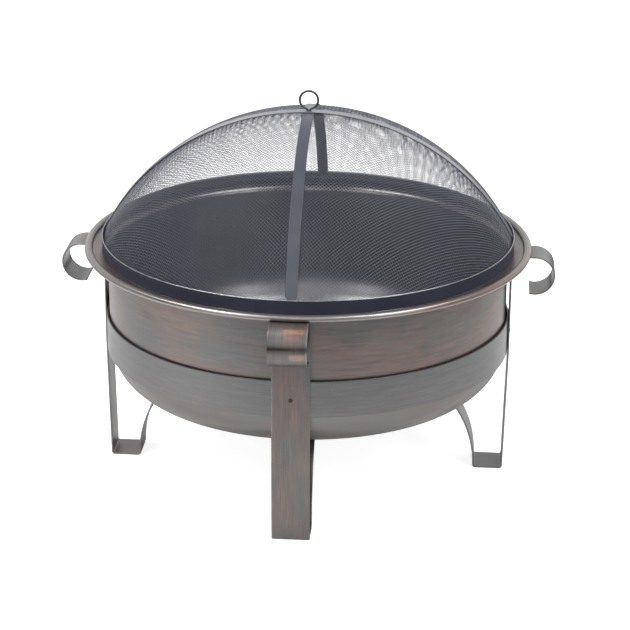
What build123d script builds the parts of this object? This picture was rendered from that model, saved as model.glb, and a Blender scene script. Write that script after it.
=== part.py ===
from build123d import *
from collections import namedtuple
from math import asin, atan2, cos, degrees, radians, sin, sqrt, tan
import os

# A wood-burning fire pit: four legs bent from flat bar, a hoop that ties them together, a deep
# steel bowl that hangs by its rolled rim on the leg tops, a log grate on the bowl's floor and a
# domed mesh screen with a lift ring.
# Millimetres. +Z is up, the floor is z = 0 and the origin is under the middle of the bowl.
# The front leg stands on -Y, the right leg on +X.

FIT_GAP = 0.3            # between bodies that rest on each other

# flat bar of the legs and the hoop
BAR_WIDTH = 63.5
BAR_THICK = 3.0

# bowl
SHEET = 1.2              # bowl steel
WALL_RADIUS = 348.0      # outside of the upright wall
FLOOR_UNDERSIDE = 152.5
KNUCKLE_RADIUS = 84.0    # outside of the bend between the wall and the floor
LEDGE_BEND = 13.0        # middle of the sheet, the shoulder between the wall and the ledge
LEDGE_BEND_Z = 389.0     # centre of that bend
LEDGE_SLOPE = 4.0        # degrees, falling inwards
RIM_OUTER_RADIUS = 388.5
RIM_CENTRE_Z = 405.4
RIM_BEND = 4.75          # outside of the rolled rim's two end bends
RIM_FLAT = 4.5           # between the centres of those bends
RIM_NECK_BEND = 1.5      # middle of the sheet, in the groove inside the rim

# legs, in the plane of each leg: first number is the distance from the centre
STRAP_OUTER_RADIUS = 356.0
FOOT_INNER_RADIUS = 298.0
FOOT_BEND = 4.5          # middle of the bar
TAIL_LOW_TURN = 32.5     # degrees through the long gentle bend above the foot
TAIL_HIGH_RADIUS = 88.0  # tighter bend under the bowl
TAIL_END_RADIUS = 36.0
STRAP_LEAN = 1.2         # degrees, the strap below the hoop leans in towards the foot
STRAP_LEAN_BEND = 200.0
STRAP_LEAN_DROP = 2.0    # from the hoop's lower edge down to the start of the lean
TOP_BEND = 8.0
SCROLL_CENTRE_RADIUS = 395.5
SCROLL_RADIUS = 34.6     # outside of the scroll handle
SCROLL_PAST_BOTTOM = 15.4  # degrees

# hoop round the bowl
HOOP_OUTER_RADIUS = 353.0
HOOP_LOW_Z = 222.0
SCREW_Z = HOOP_LOW_Z + BAR_WIDTH / 2
SCREW_RADIUS = 2.0
SCREW_HEAD_RADIUS = 3.5
SCREW_HEAD_HEIGHT = 1.6

# hub under the bowl
HUB_RADIUS = 80.0
HUB_THICK = 3.0
HUB_BOLT_CIRCLE = 56.0   # radius
HUB_BOLT_RADIUS = 3.0
HUB_HOLE_RADIUS = 3.3
HUB_HEAD_RADIUS = 6.0
HUB_WASHER_RADIUS = 6.2
HUB_WASHER_THICK = 1.6
HUB_NUT_FLATS = 10.0
HUB_NUT_HEIGHT = 5.0
HUB_BOLT_LENGTH = 15.0

# log grate
GRATE_ROD = 8.0
GRATE_RADIUS = 205.0     # middle of the ring's rod
GRATE_RING_Z = 184.0
GRATE_BAR_COUNT = 7
GRATE_BAR_PITCH = 52.0
GRATE_FOOT_RADIUS = 205.0

# screen
BAND_OUTER_RADIUS = 357.5
BAND_THICK = 1.5
BAND_LOW_Z = 402.6
BAND_TOP_Z = 425.0
HEM_RADIUS = 357.3
HEM_ROD = 2.2
MESH_BASE_RADIUS = 352.5   # outside of the mesh where the dome leaves the hem
MESH_BASE_Z = 427.0
MESH_THICK = 1.0
MESH_SKIRT_LOW_Z = 410.0
MESH_SKIRT_RADIUS = 353.0  # middle of the mesh
DOME_HEIGHT = 211.0
CROWN_RADIUS = 404.0       # flatter middle of the dome
CROWN_ANGLE = 20.0         # degrees from the middle to where the side bend takes over
STRAP_WIDTH = 19.5
STRAP_THICK = 1.5
STRAP_LOW_Z = 406.0
STRAP_MESH_GAP = 0.2
STRAP_STEP = STRAP_THICK + 0.2   # one strap crosses over the other

# lift ring
RING_WIRE = 4.0
RING_RADIUS = 15.75        # middle of the wire
RING_CENTRE_Z = 660.2
RING_LEG_X = 2.1
RING_NECK_BEND = 4.0
RING_LEG_LOW_Z = 631.0
RING_FOOT_LENGTH = 9.0
RING_FOOT_BEND = 3.0
RING_HOLE = 9.0
RING_WASHER_RADIUS = 11.0
RING_WASHER_HOLE = 10.4
RING_WASHER_THICK = 1.2


# Profile paths are lists of these two, in the r-z plane, each starting where the last one ends.
Straight = namedtuple("Straight", "start end")
Bend = namedtuple("Bend", "centre radius start turn")   # angles in degrees from the +r direction


def on_circle(centre, radius, angle):
    return (centre[0] + radius * cos(radians(angle)), centre[1] + radius * sin(radians(angle)))


def moved_left(piece, distance):
    """The edge parallel to one piece of a path, on its left, with its start and end points."""
    if isinstance(piece, Bend):
        radius = piece.radius - distance if piece.turn > 0 else piece.radius + distance
        points = [on_circle(piece.centre, radius, piece.start + piece.turn * t) for t in (0, 0.5, 1)]
        return ThreePointArc(*points), points[0], points[2]
    (r1, z1), (r2, z2) = piece
    length = sqrt((r2 - r1) ** 2 + (z2 - z1) ** 2)
    shift = (-(z2 - z1) * distance / length, (r2 - r1) * distance / length)
    points = [(r1 + shift[0], z1 + shift[1]), (r2 + shift[0], z2 + shift[1])]
    return Line(*points), *points


def rod(radius, low, high, x=0.0, y=0.0):
    """Upright round rod between two heights."""
    return Pos(x, y, (low + high) / 2) * Cylinder(radius, high - low)


def radial_rod(radius, inner, outer, z):
    """Round rod along +X between two distances from the centre."""
    return Pos((inner + outer) / 2, 0, z) * Rot(0, 90, 0) * Cylinder(radius, outer - inner)


def four_round(shape):
    """Four copies of a shape at quarter turns, as a group of separate solids."""
    return Compound(children=[Rot(0, 0, 90 * k) * shape for k in range(4)])


def strip(path, thickness):
    """Face of even thickness along a path, standing in the XZ plane."""
    left = [moved_left(piece, thickness / 2) for piece in path]
    right = [moved_left(piece, -thickness / 2) for piece in path]
    edges = [edge for edge, start, end in left + right]
    edges.append(Line(left[0][1], right[0][1]))
    edges.append(Line(left[-1][2], right[-1][2]))
    return Plane.XZ * make_face(edges)


def spun(path, thickness):
    """Sheet of even thickness revolved about the Z axis."""
    return revolve(strip(path, thickness), Axis.Z, 360)


def bar_along(path, thickness, width):
    """Flat bar bent along a path, its width centred on the XZ plane."""
    return extrude(strip(path, thickness), width / 2, both=True)


# ---------------------------------------------------------------- bowl

def bowl_path():
    """Middle of the bowl's sheet, from the centre of the floor to the end of the rolled rim."""
    wall = WALL_RADIUS - SHEET / 2
    floor = FLOOR_UNDERSIDE + SHEET / 2
    knuckle = KNUCKLE_RADIUS - SHEET / 2
    knuckle_centre = (wall - knuckle, floor + knuckle)
    bend_centre = (wall + LEDGE_BEND, LEDGE_BEND_Z)
    ledge_start = on_circle(bend_centre, LEDGE_BEND, 90 + LEDGE_SLOPE)
    along = (cos(radians(LEDGE_SLOPE)), sin(radians(LEDGE_SLOPE)))
    # the groove's bend touches the ledge and the outside of the rolled rim
    roll = RIM_BEND - SHEET / 2
    outer_bend = (RIM_OUTER_RADIUS - RIM_BEND, RIM_CENTRE_Z)
    inner_bend = (outer_bend[0] - RIM_FLAT, RIM_CENTRE_Z)
    start = (ledge_start[0] - RIM_NECK_BEND * along[1], ledge_start[1] + RIM_NECK_BEND * along[0])
    to_rim = (inner_bend[0] - start[0], inner_bend[1] - start[1])
    height = to_rim[1] * along[0] - to_rim[0] * along[1]
    run = to_rim[0] * along[0] + to_rim[1] * along[1]
    run -= sqrt((roll + RIM_NECK_BEND) ** 2 - height**2)
    neck = (start[0] + run * along[0], start[1] + run * along[1])
    ledge_end = (ledge_start[0] + run * along[0], ledge_start[1] + run * along[1])
    meet = degrees(atan2(inner_bend[1] - neck[1], inner_bend[0] - neck[0]))
    return [
        Straight((0, floor), (knuckle_centre[0], floor)),
        Bend(knuckle_centre, knuckle, -90, 90),
        Straight((wall, knuckle_centre[1]), (wall, LEDGE_BEND_Z)),
        Bend(bend_centre, LEDGE_BEND, 180, LEDGE_SLOPE - 90),
        Straight(ledge_start, ledge_end),
        Bend(neck, RIM_NECK_BEND, LEDGE_SLOPE - 90, meet + 90 - LEDGE_SLOPE),
        Bend(inner_bend, roll, 180 + meet, -90 - meet),
        Straight(on_circle(inner_bend, roll, 90), on_circle(outer_bend, roll, 90)),
        Bend(outer_bend, roll, 90, -180),
        Straight(on_circle(outer_bend, roll, -90), on_circle(inner_bend, roll, -90)),
    ]


def fire_bowl():
    return spun(bowl_path(), SHEET)


# ---------------------------------------------------------------- stand

def leg_path():
    """Middle of one leg's bar, from the hub along the tail, the foot and the strap to the scroll."""
    half = BAR_THICK / 2
    top_z = RIM_CENTRE_Z - RIM_BEND - FIT_GAP - half
    hub_z = FLOOR_UNDERSIDE - FIT_GAP - half
    foot_z = half + FOOT_BEND
    strap = STRAP_OUTER_RADIUS - half
    tail = FOOT_INNER_RADIUS + half
    turn = radians(TAIL_LOW_TURN)
    low_radius = (hub_z - foot_z - TAIL_HIGH_RADIUS * (1 - sin(turn))) / sin(turn)
    low_centre = (tail - low_radius, foot_z)
    high_centre = on_circle(low_centre, low_radius - TAIL_HIGH_RADIUS, TAIL_LOW_TURN)
    scroll = SCROLL_RADIUS - half
    lean = radians(STRAP_LEAN)
    lean_top = HOOP_LOW_Z - STRAP_LEAN_DROP
    lean_centre = (strap - STRAP_LEAN_BEND, lean_top)
    lean_end = on_circle(lean_centre, STRAP_LEAN_BEND, -STRAP_LEAN)
    foot_bend_end = foot_z - FOOT_BEND * sin(lean)
    foot_end = lean_end[0] - (lean_end[1] - foot_bend_end) * tan(lean)
    foot_centre = (foot_end - FOOT_BEND * cos(lean), foot_z)
    return [
        Straight((TAIL_END_RADIUS, hub_z), (high_centre[0], hub_z)),
        Bend(high_centre, TAIL_HIGH_RADIUS, 90, TAIL_LOW_TURN - 90),
        Bend(low_centre, low_radius, TAIL_LOW_TURN, -TAIL_LOW_TURN),
        Bend((tail + FOOT_BEND, foot_z), FOOT_BEND, 180, 90),
        Straight((tail + FOOT_BEND, half), (foot_centre[0], half)),
        Bend(foot_centre, FOOT_BEND, -90, 90 - STRAP_LEAN),
        Straight(on_circle(foot_centre, FOOT_BEND, -STRAP_LEAN), lean_end),
        Bend(lean_centre, STRAP_LEAN_BEND, -STRAP_LEAN, STRAP_LEAN),
        Straight((strap, lean_top), (strap, top_z - TOP_BEND)),
        Bend((strap + TOP_BEND, top_z - TOP_BEND), TOP_BEND, 180, -90),
        Straight((strap + TOP_BEND, top_z), (SCROLL_CENTRE_RADIUS, top_z)),
        Bend((SCROLL_CENTRE_RADIUS, top_z - scroll), scroll, 90, -180 - SCROLL_PAST_BOTTOM),
    ]


def leg_on_x():
    """The leg on +X, with its screw hole and its countersunk hub hole."""
    bar = bar_along(leg_path(), BAR_THICK, BAR_WIDTH)
    tail_top = FLOOR_UNDERSIDE - FIT_GAP
    screw_hole = radial_rod(SCREW_RADIUS + 0.2, HOOP_OUTER_RADIUS - 1, STRAP_OUTER_RADIUS + 1, SCREW_Z)
    bolt_hole = rod(HUB_HOLE_RADIUS, tail_top - BAR_THICK - 1, tail_top + 1, HUB_BOLT_CIRCLE)
    sink = Pos(HUB_BOLT_CIRCLE, 0, tail_top - BAR_THICK / 2) * Cone(
        HUB_HOLE_RADIUS, HUB_HEAD_RADIUS + 0.3, BAR_THICK
    )
    return bar - screw_hole - bolt_hole - sink


def support_hoop():
    middle = HOOP_LOW_Z + BAR_WIDTH / 2
    hoop = Pos(0, 0, middle) * (
        Cylinder(HOOP_OUTER_RADIUS, BAR_WIDTH)
        - Cylinder(HOOP_OUTER_RADIUS - BAR_THICK, BAR_WIDTH + 2)
    )
    hole = radial_rod(SCREW_RADIUS + 0.05, HOOP_OUTER_RADIUS - 6, HOOP_OUTER_RADIUS + 3, SCREW_Z)
    for k in range(4):
        hoop -= Rot(0, 0, 90 * k) * hole
    return hoop


def leg_screws():
    """Small dark screws from outside through each leg into the tapped hoop."""
    outer = STRAP_OUTER_RADIUS
    shank = radial_rod(SCREW_RADIUS, HOOP_OUTER_RADIUS - BAR_THICK, outer + 0.4, SCREW_Z)
    head = radial_rod(SCREW_HEAD_RADIUS, outer, outer + SCREW_HEAD_HEIGHT, SCREW_Z)
    head = fillet(head.edges().sort_by(Axis.X)[-1], SCREW_HEAD_HEIGHT * 0.7)
    socket = Pos(outer + SCREW_HEAD_HEIGHT, 0, SCREW_Z) * Rot(0, 90, 0) * extrude(
        RegularPolygon(1.3, 6), 0.8, both=True
    )
    return four_round(shank + head - socket)


def hub_plate():
    top = FLOOR_UNDERSIDE - FIT_GAP - BAR_THICK
    plate = rod(HUB_RADIUS, top - HUB_THICK, top)
    hole = rod(HUB_HOLE_RADIUS, top - HUB_THICK - 1, top + 1, HUB_BOLT_CIRCLE)
    for k in range(4):
        plate -= Rot(0, 0, 90 * k) * hole
    return plate


def hub_bolts():
    """Countersunk bolts, flush with the tops of the tails."""
    top = FLOOR_UNDERSIDE - FIT_GAP
    head = Pos(HUB_BOLT_CIRCLE, 0, top - BAR_THICK / 2) * Cone(
        HUB_BOLT_RADIUS, HUB_HEAD_RADIUS, BAR_THICK
    )
    shank = rod(HUB_BOLT_RADIUS, top - HUB_BOLT_LENGTH, top - BAR_THICK / 2, HUB_BOLT_CIRCLE)
    socket = Pos(HUB_BOLT_CIRCLE, 0, top) * extrude(RegularPolygon(2.2, 6), 1.8, both=True)
    return four_round(head + shank - socket)


def hub_washers():
    top = FLOOR_UNDERSIDE - FIT_GAP - BAR_THICK - HUB_THICK
    disc = rod(HUB_WASHER_RADIUS, top - HUB_WASHER_THICK, top, HUB_BOLT_CIRCLE)
    return four_round(disc - rod(HUB_HOLE_RADIUS, top - 5, top + 1, HUB_BOLT_CIRCLE))


def hub_nuts():
    top = FLOOR_UNDERSIDE - FIT_GAP - BAR_THICK - HUB_THICK - HUB_WASHER_THICK
    flats = RegularPolygon(HUB_NUT_FLATS / 2, 6, major_radius=False)
    nut = Pos(HUB_BOLT_CIRCLE, 0, top - HUB_NUT_HEIGHT) * extrude(flats, HUB_NUT_HEIGHT)
    return four_round(nut - rod(HUB_BOLT_RADIUS + 0.02, top - 9, top + 1, HUB_BOLT_CIRCLE))


# ---------------------------------------------------------------- log grate

def grate_ring():
    return Pos(0, 0, GRATE_RING_Z) * Torus(GRATE_RADIUS, GRATE_ROD / 2)


def grate_bar(index):
    """One of the parallel bars that lie on the ring, numbered from the front."""
    y = (index - (GRATE_BAR_COUNT - 1) / 2) * GRATE_BAR_PITCH
    length = 2 * sqrt(GRATE_RADIUS**2 - y**2) + GRATE_ROD
    bar = Pos(0, y, GRATE_RING_Z + GRATE_ROD) * Rot(0, 90, 0) * Cylinder(GRATE_ROD / 2, length)
    return chamfer(bar.edges().filter_by(GeomType.CIRCLE), 1.0)


def grate_feet():
    low = FLOOR_UNDERSIDE + SHEET + FIT_GAP
    foot = rod(GRATE_ROD / 2, low, GRATE_RING_Z - GRATE_ROD / 2, GRATE_FOOT_RADIUS)
    foot = chamfer(foot.edges().sort_by(Axis.Z)[0], 1.0)
    return Rot(0, 0, 45) * four_round(foot)


# ---------------------------------------------------------------- screen

def dome_path(offset, lift, upright_radius, low_z):
    """From the crown down over the side of the dome to an upright skirt.

    offset moves the surface outwards, lift raises the crown only. The last bend is as large as
    it takes to end on the skirt's radius.
    """
    turn = radians(CROWN_ANGLE)
    out = (sin(turn), cos(turn))
    crown_z = MESH_BASE_Z + DOME_HEIGHT + lift - CROWN_RADIUS
    joint = (CROWN_RADIUS * out[0], crown_z + CROWN_RADIUS * out[1])
    span = (MESH_BASE_RADIUS - joint[0], MESH_BASE_Z - joint[1])
    side = -(span[0] ** 2 + span[1] ** 2) / (2 * (span[0] * out[0] + span[1] * out[1]))
    centre = (joint[0] - side * out[0], joint[1] - side * out[1])
    base_angle = degrees(asin((MESH_BASE_Z - centre[1]) / side))
    base = on_circle(centre, side + offset, base_angle)
    skirt_bend = (upright_radius - base[0]) / (1 - cos(radians(base_angle)))
    bend_centre = on_circle(base, -skirt_bend, base_angle)
    return [
        Bend((0, crown_z), CROWN_RADIUS + offset, 90, -CROWN_ANGLE),
        Bend(centre, side + offset, 90 - CROWN_ANGLE, base_angle + CROWN_ANGLE - 90),
        Bend(bend_centre, skirt_bend, base_angle, -base_angle),
        Straight((upright_radius, bend_centre[1]), (upright_radius, low_z)),
    ]


def centre_hole():
    """The hole through the middle of the dome for the lift ring's wires."""
    apex = MESH_BASE_Z + DOME_HEIGHT
    return rod(RING_HOLE / 2, apex - 20, apex + 20)


def screen_mesh():
    """Closed shell with the outer shape of the woven dome and its skirt inside the band."""
    path = dome_path(-MESH_THICK / 2, 0, MESH_SKIRT_RADIUS, MESH_SKIRT_LOW_Z)
    return spun(path, MESH_THICK) - centre_hole()


def screen_strap(lift):
    """Flat strap over the dome in the XZ plane, tucked behind the band at both ends."""
    tuck = BAND_OUTER_RADIUS - BAND_THICK - STRAP_THICK / 2 - STRAP_MESH_GAP
    path = dome_path(STRAP_THICK / 2 + STRAP_MESH_GAP, lift, tuck, STRAP_LOW_Z)
    half = bar_along(path, STRAP_THICK, STRAP_WIDTH)
    return half + half.mirror(Plane.YZ) - centre_hole()


def screen_band():
    height = BAND_TOP_Z - BAND_LOW_Z
    band = Cylinder(BAND_OUTER_RADIUS, height) - Cylinder(BAND_OUTER_RADIUS - BAND_THICK, height + 2)
    return Pos(0, 0, (BAND_LOW_Z + BAND_TOP_Z) / 2) * band


def screen_hem():
    return Pos(0, 0, BAND_TOP_Z + HEM_ROD / 2) * Torus(HEM_RADIUS, HEM_ROD / 2)


def lift_ring():
    """One length of wire: a ring whose two ends turn down side by side and spread under the mesh."""
    reach = RING_RADIUS + RING_NECK_BEND
    side = RING_LEG_X + RING_NECK_BEND
    drop = sqrt(reach**2 - side**2)
    neck_z = RING_CENTRE_Z - drop
    neck_turn = degrees(asin(drop / reach))
    foot_z = RING_LEG_LOW_Z + RING_FOOT_BEND
    bend_x = RING_LEG_X + RING_FOOT_BEND
    path = [
        Straight((bend_x + RING_FOOT_LENGTH, RING_LEG_LOW_Z), (bend_x, RING_LEG_LOW_Z)),
        Bend((bend_x, foot_z), RING_FOOT_BEND, -90, -90),
        Straight((RING_LEG_X, foot_z), (RING_LEG_X, neck_z)),
        Bend((side, neck_z), RING_NECK_BEND, 180, -neck_turn),
        Bend((0, RING_CENTRE_Z), RING_RADIUS, -neck_turn, 180 + 2 * neck_turn),
        Bend((-side, neck_z), RING_NECK_BEND, neck_turn, -neck_turn),
        Straight((-RING_LEG_X, neck_z), (-RING_LEG_X, foot_z)),
        Bend((-bend_x, foot_z), RING_FOOT_BEND, 0, -90),
        Straight((-bend_x, RING_LEG_LOW_Z), (-bend_x - RING_FOOT_LENGTH, RING_LEG_LOW_Z)),
    ]
    wire = Plane.XZ * Wire([moved_left(piece, 0)[0] for piece in path])
    section = Plane(origin=wire @ 0, z_dir=wire % 0) * Circle(RING_WIRE / 2)
    return sweep(section, path=wire, transition=Transition.ROUND)


def lift_ring_washer():
    top = RING_LEG_LOW_Z + RING_WIRE / 2 + RING_WASHER_THICK
    disc = rod(RING_WASHER_RADIUS, top - RING_WASHER_THICK, top)
    return disc - rod(RING_WASHER_HOLE / 2, top - 5, top + 5)


# ---------------------------------------------------------------- all parts

def build_all():
    leg = leg_on_x()
    parts = {
        "leg_right": leg,
        "leg_back": Rot(0, 0, 90) * leg,
        "leg_left": Rot(0, 0, 180) * leg,
        "leg_front": Rot(0, 0, 270) * leg,
        "support_hoop": support_hoop(),
        "leg_screws": leg_screws(),
        "hub_plate": hub_plate(),
        "hub_bolts": hub_bolts(),
        "hub_washers": hub_washers(),
        "hub_nuts": hub_nuts(),
        "fire_bowl": fire_bowl(),
        "grate_ring": grate_ring(),
        "grate_feet": grate_feet(),
        "screen_band": screen_band(),
        "screen_hem": screen_hem(),
        "screen_mesh": screen_mesh(),
        "screen_strap_front_back": Rot(0, 0, 90) * screen_strap(0.0),
        "screen_strap_side": screen_strap(STRAP_STEP),
        "lift_ring": lift_ring(),
        "lift_ring_washer": lift_ring_washer(),
    }
    for index in range(GRATE_BAR_COUNT):
        parts[f"grate_bar_{index + 1}"] = grate_bar(index)
    return parts


os.makedirs("parts", exist_ok=True)
for name, shape in build_all().items():
    export_step(shape, f"parts/{name}.step")
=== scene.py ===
from collections import namedtuple
from math import asin, atan2, ceil, cos, degrees, pi, radians, sin, sqrt, tan

import bmesh
import bpy
import numpy as np
from mathutils import Matrix, Vector


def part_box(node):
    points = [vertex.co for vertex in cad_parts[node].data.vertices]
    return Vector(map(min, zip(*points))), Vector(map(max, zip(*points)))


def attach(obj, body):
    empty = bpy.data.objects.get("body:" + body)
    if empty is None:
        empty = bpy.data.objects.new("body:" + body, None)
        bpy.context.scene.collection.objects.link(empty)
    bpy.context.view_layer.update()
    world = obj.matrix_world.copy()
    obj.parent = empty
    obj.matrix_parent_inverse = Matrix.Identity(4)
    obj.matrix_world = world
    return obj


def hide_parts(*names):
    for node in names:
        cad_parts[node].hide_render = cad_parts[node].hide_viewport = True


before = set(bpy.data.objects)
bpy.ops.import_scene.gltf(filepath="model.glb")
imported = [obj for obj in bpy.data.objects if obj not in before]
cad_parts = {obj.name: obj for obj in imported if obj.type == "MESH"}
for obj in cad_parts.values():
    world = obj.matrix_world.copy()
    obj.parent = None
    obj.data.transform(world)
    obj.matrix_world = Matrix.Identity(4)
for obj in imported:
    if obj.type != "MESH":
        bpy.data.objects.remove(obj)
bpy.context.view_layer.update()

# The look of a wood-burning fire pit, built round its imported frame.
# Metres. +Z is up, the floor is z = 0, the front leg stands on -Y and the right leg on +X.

MM = 0.001
QUARTER = pi / 2

# ---------------------------------------------------------------- sizes from the frame

BOWL_LOW, BOWL_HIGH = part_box("fire_bowl")
LEG_LOW, LEG_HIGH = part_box("leg_right")
HOOP_LOW, HOOP_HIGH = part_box("support_hoop")
BAND_LOW, BAND_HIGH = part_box("screen_band")
HEM_LOW, HEM_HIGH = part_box("screen_hem")
MESH_LOW, MESH_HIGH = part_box("screen_mesh")
STRAP_LOW, STRAP_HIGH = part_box("screen_strap_side")
RING_LOW, RING_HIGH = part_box("lift_ring")

FIT_GAP = 0.3 * MM           # between the bowl and the stand
WELD_DISTANCE = 0.002 * MM   # corners closer than this are one

# flat bar
BAR_WIDTH = LEG_HIGH.y - LEG_LOW.y
BAR_THICK = 3.0 * MM
BAR_EDGE = 0.7 * MM          # radius along the bar's edges

# bowl
SHEET = 1.2 * MM
RIM_BEND = 4.75 * MM         # outside radius of the rolled rim
RIM_FLAT = 4.5 * MM          # between the rim's two bends
RIM_NECK_BEND = 1.5 * MM     # from the ledge up into the rim
RIM_CENTRE_Z = BOWL_HIGH.z - RIM_BEND
WALL_RADIUS = BOWL_HIGH.x - 40.5 * MM
KNUCKLE = 84.0 * MM          # radius between the wall and the floor
LEDGE_BEND = 13.0 * MM
LEDGE_BEND_Z = RIM_CENTRE_Z - 16.4 * MM
LEDGE_SLOPE = 4.0            # degrees, up towards the rim

# legs
STRAP_OUTER = WALL_RADIUS + 8.0 * MM
FOOT_INNER = STRAP_OUTER - 58.0 * MM
FOOT_BEND = 4.5 * MM
TAIL_LOW_TURN = 32.5         # degrees of the tail's lower bend
TAIL_HIGH_BEND = 88.0 * MM
TAIL_END = LEG_LOW.x
STRAP_LEAN = 1.2             # degrees off upright, below the hoop
STRAP_LEAN_BEND = 200.0 * MM
STRAP_LEAN_TOP = HOOP_LOW.z - 2.0 * MM
TOP_BEND = 8.0 * MM
SCROLL = 34.6 * MM           # outside radius
SCROLL_CENTRE = LEG_HIGH.x - SCROLL
SCROLL_PAST_BOTTOM = 15.4    # degrees
HUB_BOLT_CIRCLE = 56.0 * MM
HUB_HOLE_LOW = 3.1 * MM      # radii of the cone that cuts a countersunk hole
HUB_HOLE_HIGH = 6.9 * MM
LEG_PAINT_SHIFT = 2.3        # keeps the wear of the plain legs apart

# screen
BAND_THICK = 1.5 * MM
BAND_EDGE = 0.5 * MM
HEM_ROD = (HEM_HIGH.z - HEM_LOW.z) / 2
HEM_RADIUS = HEM_HIGH.x - HEM_ROD
HEM_WELD = -88.6             # degrees from +X
MESH_THICK = 1.0 * MM
MESH_BASE_RADIUS = BAND_HIGH.x - 5.0 * MM
MESH_BASE_Z = BAND_HIGH.z + 2.0 * MM
MESH_SKIRT_RADIUS = MESH_HIGH.x - MESH_THICK / 2
CROWN_RADIUS = 404.0 * MM
CROWN_TURN = 20.0            # degrees each way from the top
CROWN_Z = MESH_HIGH.z - CROWN_RADIUS
STRAP_WIDTH = STRAP_HIGH.y - STRAP_LOW.y
STRAP_THICK = 1.5 * MM
STRAP_EDGE = 0.35 * MM
STRAP_CLIP_WIDTH = 2.5 * MM  # clipped off each corner, just above the hem
STRAP_CLIP_HEIGHT = 3.0 * MM
STRAP_GAP = 0.2 * MM
STRAP_STEP = STRAP_THICK + STRAP_GAP   # the side strap lies over the other by this much

# woven mesh
WIRE_PITCH = 4.87 * MM
WIRE_RADIUS = 0.36 * MM
WIRE_WAVE = 0.45 * MM        # over and under the surface at the crossings
WIRE_LOW_Z = MESH_LOW.z + 2.0 * MM
WIRE_HOLE = 4.6 * MM         # kept clear for the legs of the lift ring

# lift ring
RING_WIRE = RING_HIGH.y      # radius of the wire
RING_RADIUS = 15.75 * MM
RING_CENTRE_Z = RING_HIGH.z - RING_WIRE - RING_RADIUS
RING_LEG_X = 2.1 * MM
RING_NECK_BEND = 4.0 * MM
RING_FOOT_BEND = 3.0 * MM
RING_FOOT = 9.0 * MM         # straight end under the mesh
RING_LEG_LOW_Z = RING_LOW.z + RING_WIRE

# ---------------------------------------------------------------- paths in the r-z plane

Straight = namedtuple("Straight", "start end")
Bend = namedtuple("Bend", "centre radius start turn")   # degrees from the +r direction


def on_circle(centre, radius, angle):
    return (centre[0] + radius * cos(radians(angle)), centre[1] + radius * sin(radians(angle)))


def walk(path, step=6 * MM, turn_step=5.0):
    """Points along a path, with the direction to its left and the run at each point."""
    points, lefts = [], []
    for piece in path:
        if isinstance(piece, Bend):
            count = max(2, ceil(abs(piece.turn) / turn_step))
            angles = np.radians(piece.start + piece.turn * np.linspace(0, 1, count + 1))
            out = np.stack([np.cos(angles), np.sin(angles)], axis=1)
            spots = np.array(piece.centre) + piece.radius * out
            sides = -out * np.sign(piece.turn)
        else:
            start, end = np.array(piece.start), np.array(piece.end)
            length = np.linalg.norm(end - start)
            count = max(1, ceil(length / step))
            spots = start + (end - start) * np.linspace(0, 1, count + 1)[:, None]
            along = (end - start) / length
            sides = np.tile([-along[1], along[0]], (count + 1, 1))
        skip = 1 if points else 0
        points.extend(spots[skip:])
        lefts.extend(sides[skip:])
    points, lefts = np.array(points), np.array(lefts)
    runs = np.concatenate([[0], np.cumsum(np.linalg.norm(np.diff(points, axis=0), axis=1))])
    return points, lefts, runs


# ---------------------------------------------------------------- meshes

def quads(rows, columns, wrap_rows, wrap_columns):
    """Corner numbers of the faces of a grid of points."""
    i = np.arange(rows if wrap_rows else rows - 1)[:, None]
    j = np.arange(columns if wrap_columns else columns - 1)[None, :]
    far_i, far_j = (i + 1) % rows, (j + 1) % columns
    corners = [
        i * columns + j,
        i * columns + far_j,
        far_i * columns + far_j,
        far_i * columns + j,
    ]
    return np.stack([c + 0 * i + 0 * j for c in corners], axis=-1).reshape(-1, 4)


def mesh_object(name, points, faces, materials, flat_faces=(), face_slots=None, corner_uvs=None):
    """Smooth-shaded closed mesh. flat_faces are end caps, added after the grid's faces."""
    mesh = bpy.data.meshes.new(name)
    mesh.from_pydata(points.tolist(), [], faces.tolist() + [list(f) for f in flat_faces])
    smooth = np.ones(len(mesh.polygons), bool)
    smooth[len(faces):] = False
    mesh.polygons.foreach_set("use_smooth", smooth)
    for material in materials:
        mesh.materials.append(material)
    if face_slots is not None:
        slots = np.zeros(len(mesh.polygons), np.int32)
        slots[:len(faces)] = face_slots
        mesh.polygons.foreach_set("material_index", slots)
    if corner_uvs is not None:
        layer = mesh.uv_layers.new(name="run_and_girth")
        values = np.zeros((len(mesh.loops), 2), np.float32)
        values[:len(corner_uvs)] = corner_uvs
        layer.data.foreach_set("uv", values.ravel())
    work = bmesh.new()
    work.from_mesh(mesh)
    bmesh.ops.remove_doubles(work, verts=work.verts, dist=WELD_DISTANCE)
    bmesh.ops.recalc_face_normals(work, faces=work.faces)
    work.to_mesh(mesh)
    work.free()
    piece = bpy.data.objects.new(name, mesh)
    bpy.context.scene.collection.objects.link(piece)
    return piece


def bar_section(thick, edge, steps=3):
    """Round the bar's section: offset to the left, side of the bar, and distance from that side."""
    inset = thick / 2 - edge
    points = [(0.0, -1, 0.0)]
    support = 1.5 * edge
    for normal, side, begin in ((1, -1, 180), (1, 1, 90), (-1, 1, 0), (-1, -1, -90)):
        arc = []
        for k in range(steps + 1):
            angle = radians(begin - 90 * k / steps)
            offset = normal * inset + edge * sin(angle)
            arc.append((offset, side, -side * edge + edge * cos(angle)))
        inner = (normal * thick / 2, side, -side * (edge + support))
        points += arc + [inner] if side * normal < 0 else [inner] + arc
    return points


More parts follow.
